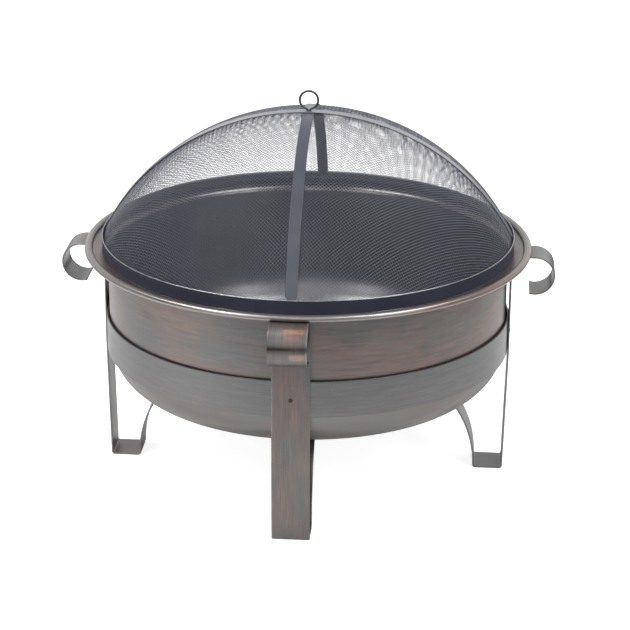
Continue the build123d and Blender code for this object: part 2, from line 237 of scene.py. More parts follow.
def flat_bar(name, walked, thick, width, edge, materials, turn=0.0, uv_shift=0.0):
    """Flat bar along a path in the XZ plane, turned about the Z axis. width may change along it."""
    points, lefts, runs = walked
    widths = np.broadcast_to(np.asarray(width, float), runs.shape)
    section = bar_section(thick, edge)
    grid = np.zeros((len(points), len(section), 3))
    girth = np.zeros(len(section) + 1)
    for k, (offset, side, inset) in enumerate(section):
        grid[:, k, 0] = points[:, 0] + lefts[:, 0] * offset
        grid[:, k, 2] = points[:, 1] + lefts[:, 1] * offset
        grid[:, k, 1] = side * widths / 2 + inset
    outline = np.append(grid[len(points) // 2], grid[len(points) // 2, :1], axis=0)
    girth[1:] = np.cumsum(np.linalg.norm(np.diff(outline, axis=0), axis=1))
    c, s = cos(turn), sin(turn)
    turned = grid @ np.array([[c, s, 0], [-s, c, 0], [0, 0, 1]])
    rows, columns = len(points), len(section)
    faces = quads(rows, columns, wrap_rows=False, wrap_columns=True)
    i, j = np.meshgrid(np.arange(rows - 1), np.arange(columns), indexing="ij")
    corners = [(i, j), (i, j + 1), (i + 1, j + 1), (i + 1, j)]
    uvs = [np.stack([runs[a] + uv_shift, girth[b]], -1) for a, b in corners]
    uvs = np.stack(uvs, 2).reshape(-1, 2)
    caps = [range(columns), range((rows - 1) * columns, rows * columns)]
    return mesh_object(name, turned.reshape(-1, 3), faces, materials, caps, corner_uvs=uvs)


def spun(name, profile, closed, materials, steps=360, slots=None):
    """Outline of (r, z) points turned about the Z axis."""
    profile = np.array(profile)
    angles = np.linspace(0, 2 * pi, steps, endpoint=False)
    grid = np.zeros((steps, len(profile), 3))
    grid[:, :, 0] = np.cos(angles)[:, None] * profile[:, 0]
    grid[:, :, 1] = np.sin(angles)[:, None] * profile[:, 0]
    grid[:, :, 2] = profile[:, 1]
    faces = quads(steps, len(profile), wrap_rows=True, wrap_columns=closed)
    face_slots = None if slots is None else np.tile(slots, steps)
    return mesh_object(name, grid.reshape(-1, 3), faces, materials, face_slots=face_slots)


def round_wire(name, points, radius, materials, sides=16, closed=False, swell=None):
    """Round wire along points in space. swell is a factor on its radius at each point."""
    points = np.array(points)
    if closed:
        tangents = np.roll(points, -1, axis=0) - np.roll(points, 1, axis=0)
    else:
        tangents = np.gradient(points, axis=0)
    tangents /= np.linalg.norm(tangents, axis=1)[:, None]
    side = np.cross(tangents, np.array([0, 0, 1.0]) if closed else np.array([0, 1.0, 0]))
    side /= np.linalg.norm(side, axis=1)[:, None]
    other = np.cross(tangents, side)
    factor = np.ones(len(points)) if swell is None else swell
    angles = np.linspace(0, 2 * pi, sides, endpoint=False)
    cosines, sines = np.cos(angles)[None, :, None], np.sin(angles)[None, :, None]
    outward = cosines * side[:, None] + sines * other[:, None]
    grid = points[:, None] + radius * factor[:, None, None] * outward
    faces = quads(len(points), sides, wrap_rows=closed, wrap_columns=True)
    last = (len(points) - 1) * sides
    caps = [] if closed else [range(sides), range(last, last + sides)]
    return mesh_object(name, grid.reshape(-1, 3), faces, materials, caps)


def place(piece, body, slot, *nodes):
    """The piece rides on a body and stands for CAD nodes, which it hides. slot is not used."""
    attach(piece, body)
    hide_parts(*nodes)
    return piece


# ---------------------------------------------------------------- materials

class Nodes:
    """Short calls that add nodes to one node tree."""

    def __init__(self, tree):
        self.tree = tree

    def add(self, kind, inputs, output=0, **settings):
        """A node with values or links on its inputs. Returns the output of a number or name."""
        node = self.tree.nodes.new(kind)
        for name, value in settings.items():
            setattr(node, name, value)
        for name, value in inputs.items():
            if isinstance(value, bpy.types.NodeSocket):
                self.tree.links.new(value, node.inputs[name])
            else:
                node.inputs[name].default_value = value
        return node.outputs[output]

    def rise(self, value, low, high, bottom=0.0, top=1.0):
        """Smooth step of a value from low to high."""
        inputs = {"Value": value, "From Min": low, "From Max": high}
        inputs.update({"To Min": bottom, "To Max": top})
        return self.add("ShaderNodeMapRange", inputs, interpolation_type="SMOOTHSTEP")

    def parts_of(self, vector, axis):
        return self.add("ShaderNodeSeparateXYZ", {0: vector}, axis)


class Paint(Nodes):
    """One procedural material: a principled shader and the nodes that feed it."""

    def __init__(self, name, **uniform):
        self.material = bpy.data.materials.new(name)
        self.material.use_nodes = True
        super().__init__(self.material.node_tree)
        self.tree.nodes.clear()
        output = self.tree.nodes.new("ShaderNodeOutputMaterial")
        self.shader = self.tree.nodes.new("ShaderNodeBsdfPrincipled")
        self.tree.links.new(self.shader.outputs[0], output.inputs["Surface"])
        self.coordinates = self.tree.nodes.new("ShaderNodeTexCoord")
        for socket, value in uniform.items():
            self.shader.inputs[socket.replace("_", " ")].default_value = value

    def where(self, kind="Object", scale=(1, 1, 1), shift=(0, 0, 0)):
        source = self.coordinates.outputs[kind]
        return self.add("ShaderNodeMapping", {"Vector": source, "Scale": scale, "Location": shift})

    def noise(self, where, scale=1.0, detail=3.0, rough=0.55):
        inputs = {"Vector": where, "Scale": scale, "Detail": detail, "Roughness": rough}
        return self.add("ShaderNodeTexNoise", inputs)

    def drift(self, where, amount):
        """Coordinates pushed about, so that nothing laid out on them runs quite straight."""
        inputs = {"Vector": where, "Scale": 0.6, "Detail": 1.0}
        push = self.add("ShaderNodeTexNoise", inputs, 1)
        inputs = {0: push, 1: (0, amount, amount), 2: where}
        return self.add("ShaderNodeVectorMath", inputs, operation="MULTIPLY_ADD")

    def cells(self, where, scale):
        return self.add("ShaderNodeTexVoronoi", {"Vector": where, "Scale": scale})

    def window(self, value, low, high, soft):
        """One between low and high, zero outside, with soft ends."""
        return self.times(self.rise(value, low, low + soft), self.rise(value, high, high - soft))

    def sum(self, operation, first, second):
        return self.add("ShaderNodeMath", {0: first, 1: second}, operation=operation)

    def times(self, first, second):
        return self.sum("MULTIPLY", first, second)

    def plus(self, first, second):
        return self.sum("ADD", first, second)

    def blend(self, mask, first, second):
        """Colour that goes from first to second with the mask."""
        return self.add("ShaderNodeMix", {0: mask, 6: first, 7: second}, 2, data_type="RGBA")

    def shade(self, colour, factor):
        """Colour made lighter or darker by a value about one."""
        grey = self.add("ShaderNodeCombineColor", {0: factor, 1: factor, 2: factor})
        inputs = {0: 1.0, 6: colour, 7: grey}
        return self.add("ShaderNodeMix", inputs, 2, data_type="RGBA", blend_type="MULTIPLY")

    def length(self, vector):
        return self.add("ShaderNodeVectorMath", {0: vector}, "Value", operation="LENGTH")

    def feed(self, socket, value):
        self.tree.links.new(value, self.shader.inputs[socket])

    def bump(self, height, strength, distance):
        inputs = {"Height": height, "Strength": strength, "Distance": distance}
        self.feed("Normal", self.add("ShaderNodeBump", inputs))


def colour(red, green, blue):
    return (red, green, blue, 1.0)


BRONZE_DARK = colour(0.128, 0.117, 0.112)
BRONZE_PALE = colour(0.168, 0.155, 0.149)
BRONZE_COOL = colour(0.132, 0.138, 0.143)
BRONZE_WARM = colour(0.225, 0.143, 0.122)
# painted reflection: a grey tint for the studio's bluish light mirrored in the hoop and side legs
STUDIO_REFLECTION_GREY = colour(0.134, 0.137, 0.140)
SPECK_PALE = colour(0.36, 0.32, 0.30)
# pale bar edges: wear, and a painted highlight
PALE_EDGE_WEAR_AND_HIGHLIGHT = colour(0.22, 0.215, 0.21)
# painted reflection of the floor on the lower bowl
LOW_FLOOR_REFLECTION = colour(0.158, 0.157, 0.153)
RIM_PALE = colour(0.295, 0.282, 0.276)
RIM_RED = colour(0.25, 0.165, 0.14)
COPPER = colour(0.40, 0.20, 0.11)
COPPER_RED = colour(0.30, 0.15, 0.14)
COPPER_PALE = colour(0.42, 0.27, 0.21)
# painted dark reflection across the front scroll
SCROLL_DARK_REFLECTION = colour(0.050, 0.030, 0.026)
SOOT_DARK = colour(0.018, 0.017, 0.017)
SOOT_PALE = colour(0.05, 0.047, 0.045)
RUST = colour(0.11, 0.045, 0.022)
RIM_ROUGHNESS = 0.33

# the two colours of each plain paint and steel, and the settings of a glossy paint
INSIDE_BLACK = (colour(0.009, 0.0098, 0.0205), colour(0.017, 0.018, 0.035))
BAND_BLACK = (colour(0.022, 0.024, 0.043), colour(0.031, 0.034, 0.058))
STRAP_BLACK = (colour(0.043, 0.045, 0.059), colour(0.058, 0.061, 0.082))
RING_BLACK = (colour(0.030, 0.029, 0.031), colour(0.045, 0.043, 0.045))
# the black wires are painted grey: a painted sheen for the glints along them
WIRE_SHEEN_GREY = (colour(0.108, 0.110, 0.136), colour(0.142, 0.145, 0.174))
SHOULDER_STEEL = (colour(0.20, 0.195, 0.195), colour(0.13, 0.125, 0.125))
HEM_STEEL = (colour(0.32, 0.32, 0.33), colour(0.20, 0.20, 0.21))
DARK_STEEL = (colour(0.055, 0.052, 0.050), colour(0.030, 0.028, 0.027))
GLOSSY = {"gloss": 1.0, "index": 1.9}


def rubbed_bronze(name, kind, shift, grey=0.0, warm=0.65, painted_lightness=1.0, wear_and_light=None):
    """Dark bronze paint rubbed along one direction, in loose patches of cool grey and red-brown.

    The rubbing runs round the axis on turned pieces, and along the run of a bar. grey says how much
    of a grey tint shows, a painted reflection of the studio's bluish light, and warm how much
    red-brown.
    The lightness factor paints in light and shade: it makes the whole piece lighter or darker.
    The wear function adds the piece's own marks and its painted light.
    """
    paint = Paint(name, Metallic=0.8, Specular_IOR_Level=0.5)

    def field(along, across, offset, detail=3.0, rough=0.55):
        """Noise with so many waves to the metre along and across the rubbing."""
        scale = (along, along, across) if kind == "Object" else (along, across, 1)
        place_at = [offset + part for part in shift]
        drifted = paint.drift(paint.where(kind, scale, place_at), 0.35)
        return paint.noise(drifted, detail=detail, rough=rough)

    fine = field(26, 620, 0.0, 4.0, 0.6)
    long = field(7, 210, 3.1, 3.0, 0.6)
    cloud = field(7, 16, 5.7, 3.0, 0.6)
    cool_cloud = field(8, 18, 9.3, 3.0, 0.6)
    warm_cloud = field(6, 13, 12.9, 3.0, 0.6)
    warm_lines = field(24, 360, 15.2, 5.0, 0.7)
    specks = field(240, 420, 18.8, 2.0, 0.5)

    base = paint.blend(paint.rise(cloud, 0.30, 0.70), BRONZE_DARK, BRONZE_PALE)
    base = paint.blend(paint.rise(cool_cloud, 0.42, 0.62, 0.0, 0.6), base, BRONZE_COOL)
    lines = paint.rise(warm_lines, 0.40, 0.62, 0.2, 1.0)
    red = paint.times(paint.rise(warm_cloud, 0.44, 0.62), lines)
    base = paint.blend(paint.times(red, warm), base, BRONZE_WARM)
    # painted reflection: a grey tint for the studio's bluish light mirrored in the piece
    base = paint.blend(grey, base, STUDIO_REFLECTION_GREY)
    # fine streaks of lighter and darker paint, and painted light and shade: the whole piece made
    # lighter or darker by its own factor
    base = paint.shade(base, paint.rise(fine, 0.25, 0.75, 0.87 * painted_lightness, 1.13 * painted_lightness))
    base = paint.shade(base, paint.rise(long, 0.25, 0.75, 0.94, 1.06))
    base = paint.blend(paint.rise(specks, 0.68, 0.80, 0.0, 0.35), base, SPECK_PALE)
    rough = paint.rise(cloud, 0.3, 0.7, 0.33, 0.40)
    rough = paint.plus(rough, paint.rise(fine, 0.3, 0.7, -0.04, 0.04))
    # the piece's own marks, with the painted light and reflections that some pieces carry
    if wear_and_light:
        base, rough = wear_and_light(paint, base, rough)
    paint.feed("Base Color", base)
    paint.feed("Roughness", rough)
    paint.bump(paint.plus(fine, paint.times(long, 0.5)), 0.10, 0.08 * MM)
    return paint.material


def bar_edge_wear_and_highlight(paint, base, rough):
    """Paint paler along the edges of flat bar: worn there, and a painted highlight on the rounded
    edges.
    """
    girth = paint.parts_of(paint.coordinates.outputs["UV"], 1)
    across = paint.sum("MODULO", girth, BAR_WIDTH + BAR_THICK)
    face = paint.window(across, 0.2 * MM, BAR_WIDTH - 0.4 * MM, 1.6 * MM)
    scuff = paint.noise(paint.where("UV", (60, 60, 60)), detail=3.0)
    worn = paint.times(paint.sum("SUBTRACT", 1.0, face), paint.rise(scuff, 0.35, 0.6, 0.25, 0.75))
    # pale along the edges: partly wear, partly a painted highlight
    return paint.blend(worn, base, PALE_EDGE_WEAR_AND_HIGHLIGHT), rough


def bowl_zones(paint, base, rough):
    """The rolled rim is rubbed pale and smooth, redder at the right of its front.

    From the hoop down the bowl is painted lighter and greyer than its wall, a painted reflection of
    the floor below.
    """
    place_at = paint.coordinates.outputs["Object"]
    radius = paint.length(paint.where("Object", (1, 1, 0)))
    height = paint.parts_of(place_at, 2)
    # painted reflection: the bowl lighter and greyer from the hoop down, where it mirrors the floor
    low = paint.rise(height, HOOP_HIGH.z, HOOP_LOW.z, 0.0, 0.6)
    base = paint.blend(low, base, LOW_FLOOR_REFLECTION)
    rim = paint.rise(radius, BOWL_HIGH.x - 12 * MM, BOWL_HIGH.x - 3 * MM)
    bronze_left = paint.noise(paint.where("Object", (9, 9, 30), (2.3, 0.4, 0.0)), detail=3.0)
    polished = paint.times(rim, paint.rise(bronze_left, 0.38, 0.62, 0.45, 0.80))
    base = paint.blend(polished, base, RIM_PALE)
    right = paint.rise(paint.parts_of(place_at, 0), 0.12, 0.28)
    front = paint.rise(paint.parts_of(place_at, 1), 0.02, -0.10)
    red = paint.times(paint.times(right, front), paint.rise(bronze_left, 0.36, 0.56, 0.1, 0.65))
    base = paint.blend(paint.times(rim, red), base, RIM_RED)
    elsewhere = paint.sum("SUBTRACT", 1.0, rim)
    return base, paint.plus(paint.times(elsewhere, rough), paint.times(rim, RIM_ROUGHNESS))


def front_scroll_wear_and_reflection(run_of_scroll):
    """Copper rubbed through on the front scroll, with a painted dark reflection across its middle.
    """
    def wear_and_light(paint, base, rough):
        base, rough = bar_edge_wear_and_highlight(paint, base, rough)
        place_uv = paint.coordinates.outputs["UV"]
        run, girth = paint.parts_of(place_uv, 0), paint.parts_of(place_uv, 1)
        ragged = paint.noise(paint.where("UV", (260, 70, 1)), detail=4.0, rough=0.7)
        # near and far end of each mark along the scroll, its two sides, strength and colour
        marks = [
            (0.012, 0.024, 0.022, 0.062, 0.80, COPPER),
            (0.024, 0.035, 0.024, 0.056, 0.50, COPPER_RED),
            (0.053, 0.068, 0.033, 0.064, 0.45, COPPER_PALE),
        ]
        for near, far, low, high, strength, worn in marks:
            mark = paint.times(
                paint.window(run, run_of_scroll + near, run_of_scroll + far, 4 * MM),
                paint.window(girth, low, high, 7 * MM),
            )
            mark = paint.times(mark, paint.rise(ragged, 0.28, 0.62, 0.15, strength))
            base = paint.blend(mark, base, worn)
        # painted reflection: a dark band across the scroll's middle, ragged and fading across the
        # bar
        dark_reflection_start, dark_reflection_end = run_of_scroll + 0.0435, run_of_scroll + 0.0505
        dark_reflection = paint.window(run, dark_reflection_start, dark_reflection_end, 2.4 * MM)
        fade = paint.rise(girth, 0.062, 0.022, 0.35, 0.85)
        dark_reflection = paint.times(dark_reflection, paint.times(fade, paint.rise(ragged, 0.2, 0.5, 0.6, 1.0)))
        return paint.blend(dark_reflection, base, SCROLL_DARK_REFLECTION), rough
    return wear_and_light


def stove_paint(name, base, pale, roughness, gloss=0.5, index=1.5):
    """Satin heat-proof paint with faint powdery marks. gloss is the shader's specular level."""
    paint = Paint(name, Metallic=0.0, Specular_IOR_Level=gloss, IOR=index)
    cloud = paint.noise(paint.where("Object"), 9.0, 4.0, 0.6)
    speck = paint.noise(paint.where("Object", (1, 1, 1), (0.4, 0.2, 0.7)), 260.0, 2.0, 0.5)
    mix = paint.rise(cloud, 0.35, 0.7, 0.0, 0.7)
    mix = paint.plus(mix, paint.rise(speck, 0.45, 0.75, 0.0, 0.15))
    paint.feed("Base Color", paint.blend(mix, base, pale))
    low, high = roughness
    paint.feed("Roughness", paint.rise(cloud, 0.3, 0.7, low, high))
    paint.bump(speck, 0.05, 0.08 * MM)
    return paint.material


def bare_steel(name, base, dull, roughness):
    """Steel with fine draw lines and dull spots."""
    paint = Paint(name, Metallic=0.85, Specular_IOR_Level=0.5)
    spots = paint.noise(paint.where("Object"), 120.0, 4.0, 0.6)
    fine = paint.noise(paint.where("Object", (1, 1, 1), (0.1, 0.5, 0.3)), 1400.0, 2.0)
    paint.feed("Base Color", paint.blend(paint.rise(spots, 0.45, 0.65), base, dull))
    paint.feed("Roughness", paint.rise(fine, 0.3, 0.7, roughness - 0.03, roughness + 0.03))
    paint.bump(fine, 0.15, 0.05 * MM)
    return paint.material


def sooty_steel(name):
    """Grate steel, blackened, with rust showing through in specks."""
    paint = Paint(name, Metallic=0.2, Specular_IOR_Level=0.35)
    cloud = paint.noise(paint.where("Object"), 28.0, 5.0, 0.65)
    grit = paint.cells(paint.where("Object"), 420.0)
    rust = paint.times(paint.rise(cloud, 0.52, 0.68), paint.rise(grit, 0.55, 0.15))
    soot = paint.blend(paint.rise(cloud, 0.3, 0.7), SOOT_DARK, SOOT_PALE)
    paint.feed("Base Color", paint.blend(rust, soot, RUST))
    paint.feed("Roughness", paint.rise(cloud, 0.3, 0.7, 0.55, 0.8))
    paint.bump(grit, 0.35, 0.15 * MM)
    return paint.material


# ---------------------------------------------------------------- outlines

def bowl_path():
    """Middle of the bowl's sheet, from the centre of the floor to the end of the rolled rim."""
    wall = WALL_RADIUS - SHEET / 2
    floor = BOWL_LOW.z + SHEET / 2
    knuckle = KNUCKLE - SHEET / 2
    knuckle_centre = (wall - knuckle, floor + knuckle)
    bend_centre = (wall + LEDGE_BEND, LEDGE_BEND_Z)
    ledge_start = on_circle(bend_centre, LEDGE_BEND, 90 + LEDGE_SLOPE)
    along = (cos(radians(LEDGE_SLOPE)), sin(radians(LEDGE_SLOPE)))
    # the groove's bend touches the ledge and the outside of the rolled rim
    roll = RIM_BEND - SHEET / 2
    outer_bend = (BOWL_HIGH.x - RIM_BEND, RIM_CENTRE_Z)
    inner_bend = (outer_bend[0] - RIM_FLAT, RIM_CENTRE_Z)
    start = (ledge_start[0] - RIM_NECK_BEND * along[1], ledge_start[1] + RIM_NECK_BEND * along[0])
    to_rim = (inner_bend[0] - start[0], inner_bend[1] - start[1])
    height = to_rim[1] * along[0] - to_rim[0] * along[1]
    run = to_rim[0] * along[0] + to_rim[1] * along[1]
    run -= sqrt((roll + RIM_NECK_BEND) ** 2 - height**2)
    neck = (start[0] + run * along[0], start[1] + run * along[1])
    ledge_end = (ledge_start[0] + run * along[0], ledge_start[1] + run * along[1])
    meet = degrees(atan2(inner_bend[1] - neck[1], inner_bend[0] - neck[0]))
    return [
        Straight((0, floor), (knuckle_centre[0], floor)),
        Bend(knuckle_centre, knuckle, -90, 90),
        Straight((wall, knuckle_centre[1]), (wall, LEDGE_BEND_Z)),
        Bend(bend_centre, LEDGE_BEND, 180, LEDGE_SLOPE - 90),
        Straight(ledge_start, ledge_end),
        Bend(neck, RIM_NECK_BEND, LEDGE_SLOPE - 90, meet + 90 - LEDGE_SLOPE),
        Bend(inner_bend, roll, 180 + meet, -90 - meet),
        Straight(on_circle(inner_bend, roll, 90), on_circle(outer_bend, roll, 90)),
        Bend(outer_bend, roll, 90, -180),
        Straight(on_circle(outer_bend, roll, -90), on_circle(inner_bend, roll, -90)),
    ]


def leg_path():
    """Middle of one leg's bar, and the run at which its scroll begins."""
    half = BAR_THICK / 2
    top_z = RIM_CENTRE_Z - RIM_BEND - FIT_GAP - half
    hub_z = BOWL_LOW.z - FIT_GAP - half
    foot_z = half + FOOT_BEND
    strap = STRAP_OUTER - half
    tail = FOOT_INNER + half
    turn = radians(TAIL_LOW_TURN)
    low_bend = (hub_z - foot_z - TAIL_HIGH_BEND * (1 - sin(turn))) / sin(turn)
    low_centre = (tail - low_bend, foot_z)
    high_centre = on_circle(low_centre, low_bend - TAIL_HIGH_BEND, TAIL_LOW_TURN)
    scroll = SCROLL - half
    lean = radians(STRAP_LEAN)
    lean_centre = (strap - STRAP_LEAN_BEND, STRAP_LEAN_TOP)
    lean_end = on_circle(lean_centre, STRAP_LEAN_BEND, -STRAP_LEAN)
    foot_bend_end = foot_z - FOOT_BEND * sin(lean)
    foot_end = lean_end[0] - (lean_end[1] - foot_bend_end) * tan(lean)
    foot_centre = (foot_end - FOOT_BEND * cos(lean), foot_z)
    path = [
        Straight((TAIL_END, hub_z), (high_centre[0], hub_z)),
        Bend(high_centre, TAIL_HIGH_BEND, 90, TAIL_LOW_TURN - 90),
        Bend(low_centre, low_bend, TAIL_LOW_TURN, -TAIL_LOW_TURN),
        Bend((tail + FOOT_BEND, foot_z), FOOT_BEND, 180, 90),
        Straight((tail + FOOT_BEND, half), (foot_centre[0], half)),
        Bend(foot_centre, FOOT_BEND, -90, 90 - STRAP_LEAN),
        Straight(on_circle(foot_centre, FOOT_BEND, -STRAP_LEAN), lean_end),
        Bend(lean_centre, STRAP_LEAN_BEND, -STRAP_LEAN, STRAP_LEAN),
        Straight((strap, STRAP_LEAN_TOP), (strap, top_z - TOP_BEND)),
        Bend((strap + TOP_BEND, top_z - TOP_BEND), TOP_BEND, 180, -90),
        Straight((strap + TOP_BEND, top_z), (SCROLL_CENTRE, top_z)),
        Bend((SCROLL_CENTRE, top_z - scroll), scroll, 90, -180 - SCROLL_PAST_BOTTOM),
    ]
    return path, walk(path[:-1])[2][-1]


def dome_path(offset, lift, upright, low_z):
    """From the crown down the side of the dome to an upright skirt."""
    turn = radians(CROWN_TURN)
    out = (sin(turn), cos(turn))
    crown_z = CROWN_Z + lift
    joint = (CROWN_RADIUS * out[0], crown_z + CROWN_RADIUS * out[1])
    span = (MESH_BASE_RADIUS - joint[0], MESH_BASE_Z - joint[1])
    side = -(span[0] ** 2 + span[1] ** 2) / (2 * (span[0] * out[0] + span[1] * out[1]))
    centre = (joint[0] - side * out[0], joint[1] - side * out[1])
    base_angle = degrees(asin((MESH_BASE_Z - centre[1]) / side))
    base = on_circle(centre, side + offset, base_angle)
    skirt_bend = (upright - base[0]) / (1 - cos(radians(base_angle)))
    bend_centre = on_circle(base, -skirt_bend, base_angle)
    return [
        Bend((0, crown_z), CROWN_RADIUS + offset, 90, -CROWN_TURN),
        Bend(centre, side + offset, 90 - CROWN_TURN, base_angle + CROWN_TURN - 90),
        Bend(bend_centre, skirt_bend, base_angle, -base_angle),
        Straight((upright, bend_centre[1]), (upright, low_z)),
    ]


# ---------------------------------------------------------------- pieces

def make_bowl(outside, inside, shoulder):
    points, lefts, _ = walk(bowl_path(), step=12 * MM, turn_step=6.0)
    inner = points + lefts * SHEET / 2
    outer = points - lefts * SHEET / 2
    inner[0, 0] = outer[0, 0] = 0.0
    profile = np.concatenate([inner, outer[::-1]])
    # on the inner face, black paint up the wall and bare steel round the shoulder under the screen
    slots = np.zeros(len(profile) - 1, np.int32)
    within = inner[:-1, 0] < BAND_HIGH.x - BAND_THICK
    slots[:len(within)] = np.where(within & (inner[:-1, 1] > LEDGE_BEND_Z), 2, within)
    bowl = spun("bowl_shell", profile, False, [outside, inside, shoulder], slots=slots)
    return place(bowl, "bowl", "bronze_steel", "fire_bowl")


def upright_hoop(name, low, high, thick, edge, material):
    """Flat bar on edge, bent into a hoop that fills a CAD node's box."""
    radius, middle_z, height = high.x - thick / 2, (low.z + high.z) / 2, high.z - low.z
    profile = []
    for left, side, inset in bar_section(thick, edge):
        profile.append((radius + left, middle_z + side * height / 2 + inset))
    return spun(name, profile, True, [material])


def make_hoop(material):
    hoop = upright_hoop("hoop_bar", HOOP_LOW, HOOP_HIGH, BAR_THICK, BAR_EDGE, material)
    return place(hoop, "stand", "bronze_steel", "support_hoop")


def drill_leg(leg, turn):
    """Countersunk hole for the hub bolt through the tail's flat end.

    The cone that cuts it stands a little proud of both faces.
    """
    top = BOWL_LOW.z - FIT_GAP
    work = bmesh.new()
    middle = Matrix.Translation((HUB_BOLT_CIRCLE, 0, top - BAR_THICK / 2))
    spot = Matrix.Rotation(turn, 4, "Z") @ middle
    bmesh.ops.create_cone(
        work, cap_ends=True, segments=48, radius1=HUB_HOLE_LOW, radius2=HUB_HOLE_HIGH,
        depth=BAR_THICK + 1 * MM, matrix=spot,
    )
    cutter_mesh = bpy.data.meshes.new("cutter")
    work.to_mesh(cutter_mesh)
    work.free()
    cutter = bpy.data.objects.new("cutter", cutter_mesh)
    bpy.context.scene.collection.objects.link(cutter)
    cut = leg.modifiers.new("hub_hole", "BOOLEAN")
    cut.operation = "DIFFERENCE"
    cut.solver = "EXACT"
    cut.object = cutter
    graph = bpy.context.evaluated_depsgraph_get()
    drilled = bpy.data.meshes.new_from_object(leg.evaluated_get(graph))
    leg.modifiers.clear()
    leg.data = drilled
    bpy.data.objects.remove(cutter)


def make_legs(material, front_material):
    path, _ = leg_path()
    walked = walk(path, step=14 * MM, turn_step=4.0)
    for k, side in enumerate(("right", "back", "left", "front")):
        turn = k * QUARTER
        paint = front_material if side == "front" else material
        shift = 0.0 if side == "front" else LEG_PAINT_SHIFT * (k + 1)
        name = f"{side}_leg_bar"
        leg = flat_bar(name, walked, BAR_THICK, BAR_WIDTH, BAR_EDGE, [paint], turn, shift)
        drill_leg(leg, turn)
        place(leg, "stand", "bronze_steel", f"leg_{side}")


def make_band(material):
    band = upright_hoop("base_band", BAND_LOW, BAND_HIGH, BAND_THICK, BAND_EDGE, material)
    return place(band, "screen", "black_steel", "screen_band")


def make_hem(material):
    """Hem wire, with the little weld where its ends meet beside the front strap."""
    angles = np.linspace(0, 2 * pi, 720, endpoint=False)
    away = (angles - radians(HEM_WELD) + pi) % (2 * pi) - pi
    # the weld thins the wire, with a sharp notch at one side of it
    waist = 0.10 * np.exp(-(away / 0.010) ** 2)
    notch = 0.25 * np.exp(-((away - 0.006) / 0.0022) ** 2)
    across, along = HEM_RADIUS * np.cos(angles), HEM_RADIUS * np.sin(angles)
    points = np.stack([across, along, 0 * angles + HEM_HIGH.z - HEM_ROD], 1)
    swell = 1 - waist - notch
    hem = round_wire("hem_wire", points, HEM_ROD, [material], sides=12, closed=True, swell=swell)
    return place(hem, "screen", "hem_steel", "screen_hem")


def make_strap(name, node, lift, turn, material):
    tuck = BAND_HIGH.x - BAND_THICK - STRAP_THICK / 2 - STRAP_GAP
    path = dome_path(STRAP_THICK / 2 + STRAP_GAP, lift, tuck, STRAP_LOW.z)
    points, lefts, _ = walk(path, step=2 * MM, turn_step=0.5)
    points = np.concatenate([points[:0:-1] * [-1, 1], points])
    lefts = np.concatenate([lefts[:0:-1] * [-1, 1], lefts])
    runs = np.concatenate([[0], np.cumsum(np.linalg.norm(np.diff(points, axis=0), axis=1))])
    above_hem = np.clip((points[:, 1] - HEM_HIGH.z) / STRAP_CLIP_HEIGHT, 0, 1)
    widths = STRAP_WIDTH - 2 * STRAP_CLIP_WIDTH * (1 - above_hem)
    walked = (points, lefts, runs)
    strap = flat_bar(name, walked, STRAP_THICK, widths, STRAP_EDGE, [material], turn)
    return place(strap, "screen", "black_steel", node)


def dome_surface():
    """Points down the middle of the mesh from its crown, with its outward direction and the run."""
    path = dome_path(-MESH_THICK / 2, 0, MESH_SKIRT_RADIUS, MESH_LOW.z)
    return walk(path, step=1 * MM, turn_step=0.5)


def make_wires(material):
    """Square woven net laid over the dome, its wires at 45 degrees to the straps."""
    points, lefts, runs = dome_surface()
    end_run = float(np.interp(-WIRE_LOW_Z, -points[:, 1], runs))
    half_count = int(end_run / WIRE_PITCH) + 1
    index = np.arange(-half_count, half_count)
    for family, name in enumerate(("warp", "weft")):
        for part, rows in enumerate((index[index < 0], index[index >= 0]), 1):
            strands = []
            for i in rows:
                across, along = (i + 0.5) * WIRE_PITCH, (index + 0.5) * WIRE_PITCH
                u, v = along, across + 0 * along
                if family == 1:
                    u, v = v, u
                distance = np.hypot(u, v)
                keep = (distance < end_run) & (distance > WIRE_HOLE)
                lift = WIRE_WAVE * np.where((i + index + family) % 2 == 0, 1, -1)
                angle = np.arctan2(v, u) + QUARTER / 2
                r = np.interp(distance, runs, points[:, 0])
                z = np.interp(distance, runs, points[:, 1])
                out_r = np.interp(distance, runs, lefts[:, 0])
                out_z = np.interp(distance, runs, lefts[:, 1])
                out = np.stack([out_r * np.cos(angle), out_r * np.sin(angle), out_z], 1)
                spots = np.stack([r * np.cos(angle), r * np.sin(angle), z], 1) + out * lift[:, None]
                ends = np.where(np.diff(keep.astype(int)))[0] + 1
                for stretch in np.split(np.arange(len(index)), ends):
                    if keep[stretch[0]] and len(stretch) > 1:
                        strands.append((spots[stretch], out[stretch]))
            piece = strand_mesh(f"screen_{name}_wires_{part}", strands, WIRE_RADIUS, material)
            place(piece, "screen", "black_mesh", "screen_mesh")


def strand_mesh(name, strands, radius, material, sides=4):
    """Many thin wires in one mesh, each a closed tube with a ring of corners at every crossing."""
    angles = np.linspace(0, 2 * pi, sides, endpoint=False) + pi / sides
    cosines, sines = np.cos(angles)[None, :, None], np.sin(angles)[None, :, None]
    all_points, all_faces, caps, base = [], [], [], 0
    for spots, out in strands:
        tangents = np.gradient(spots, axis=0)
        tangents /= np.linalg.norm(tangents, axis=1)[:, None]
        side = np.cross(tangents, out)
        side /= np.linalg.norm(side, axis=1)[:, None]
        up = np.cross(side, tangents)
        ring = cosines * side[:, None] + sines * up[:, None]
        all_points.append((spots[:, None] + radius * ring).reshape(-1, 3))
        all_faces.append(quads(len(spots), sides, wrap_rows=False, wrap_columns=True) + base)
        last = base + (len(spots) - 1) * sides
        caps += [range(base, base + sides), range(last, last + sides)]
        base += len(spots) * sides
    points, faces = np.concatenate(all_points), np.concatenate(all_faces)
    return mesh_object(name, points, faces, [material], caps)


